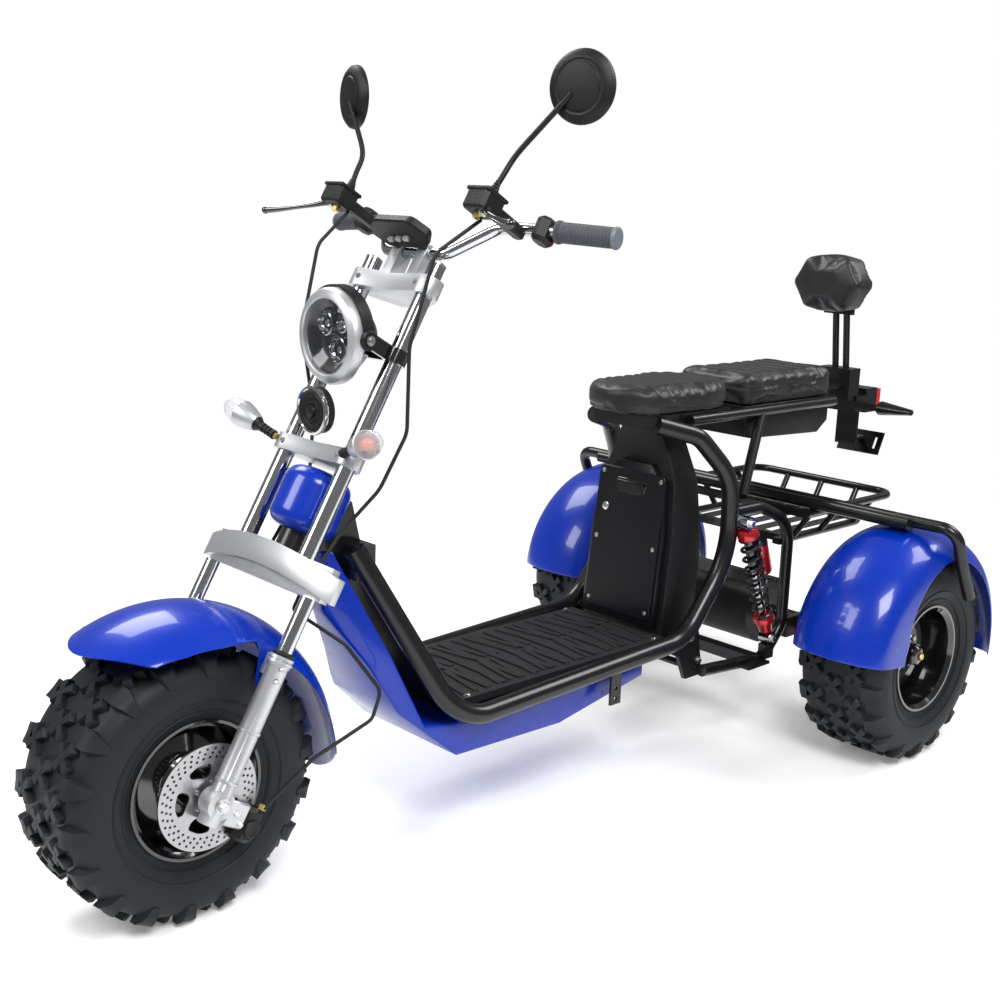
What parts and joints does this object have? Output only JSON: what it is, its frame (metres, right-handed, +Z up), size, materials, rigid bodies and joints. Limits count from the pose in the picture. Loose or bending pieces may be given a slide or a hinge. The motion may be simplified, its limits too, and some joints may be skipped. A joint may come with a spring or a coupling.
{
  "type": "electric tricycle",
  "caption": "Three-wheeled electric scooter with a fat steered front wheel, low step-through deck, saddle, passenger seat with backrest and a rear cargo basket.",
  "frame": {"origin": "on the ground under the centre of the whole vehicle", "axes": "+X forward towards the steered wheel, +Y to the rider's left, +Z up"},
  "size_m": [2.238, 1.09, 1.3943],
  "materials": {
    "tyre": "matt, knobbly",
    "gloss_black": "gloss",
    "steel": "ground",
    "frame_black": "satin",
    "mat": "matt",
    "plastic_black": "fine grain",
    "gloss_panel": "gloss",
    "blue": "gloss",
    "leather": "soft grain",
    "red_lens": "clear red",
    "silver": "satin",
    "chrome": "polished",
    "rubber": "matt",
    "clear_lens": "clear"
  },
  "bodies": {
    "chassis": {"main_frame": "frame_black", "deck_mat": "mat", "leg_shield": "plastic_black", "lower_fairing": "blue", "neck_cover": "blue", "battery_case": "plastic_black", "battery_panel": "gloss_panel", "saddle": "leather", "passenger_seat": "leather", "seat_base": "plastic_black", "seat_frame": "frame_black", "backrest_pad": "leather", "backrest_frame": "frame_black", "tail_lens": "red_lens", "plate_bracket": "frame_black", "rear_subframe": "frame_black", "rear_axle": "frame_black", "motor_block": "plastic_black", "shock_left": "frame_black", "shock_right": "frame_black", "cargo_basket": "frame_black", "guard_hoop": "frame_black", "rear_guard_left": "blue", "rear_guard_right": "blue"},
    "steering": {"front_guard": "blue", "fork_sliders": "silver", "fork_stanchion_left": "chrome", "fork_tube_left": "chrome", "fork_stanchion_right": "chrome", "fork_tube_right": "chrome", "lower_yoke": "silver", "mid_clamp": "silver", "top_clamp": "silver", "handlebar": "chrome", "grip_left": "rubber", "hand_controls_left": "plastic_black", "rear_view_mirror_left": "plastic_black", "grip_right": "rubber", "hand_controls_right": "plastic_black", "rear_view_mirror_right": "plastic_black", "headlamp_bezel": "silver", "headlamp_lens": "clear_lens", "headlamp_carrier": "plastic_black", "horn": "plastic_black", "front_signal_left": "clear_lens", "front_signal_right": "clear_lens", "dash": "plastic_black", "brake_caliper": "plastic_black", "brake_hose": "rubber", "hose_left": "rubber", "hose_right": "rubber"},
    "front_wheel": {"front_tyre": "tyre", "front_rim": "gloss_black", "brake_disc": "steel"},
    "rear_wheel_left": {"rear_tyre_left": "tyre", "rear_rim_left": "gloss_black"},
    "rear_wheel_right": {"rear_tyre_right": "tyre", "rear_rim_right": "gloss_black"}
  },
  "joints": [
    {"name": "steering", "type": "hinge", "parent": "chassis", "child": "steering", "pos_m": [0.6228, 0, 0.62833], "axis": [-0.497, 0, 0.8678], "range_deg": [-35, 35]},
    {"name": "front_wheel_spin", "type": "hinge", "parent": "steering", "child": "front_wheel", "pos_m": [0.8905, 0, 0.2285], "axis": [0, 1, 0], "continuous": true},
    {"name": "rear_wheel_left_spin", "type": "hinge", "parent": "chassis", "child": "rear_wheel_left", "pos_m": [-0.6405, 0.404, 0.2285], "axis": [0, 1, 0], "continuous": true},
    {"name": "rear_wheel_right_spin", "type": "hinge", "parent": "chassis", "child": "rear_wheel_right", "pos_m": [-0.6405, -0.404, 0.2285], "axis": [0, 1, 0], "continuous": true}
  ]
}
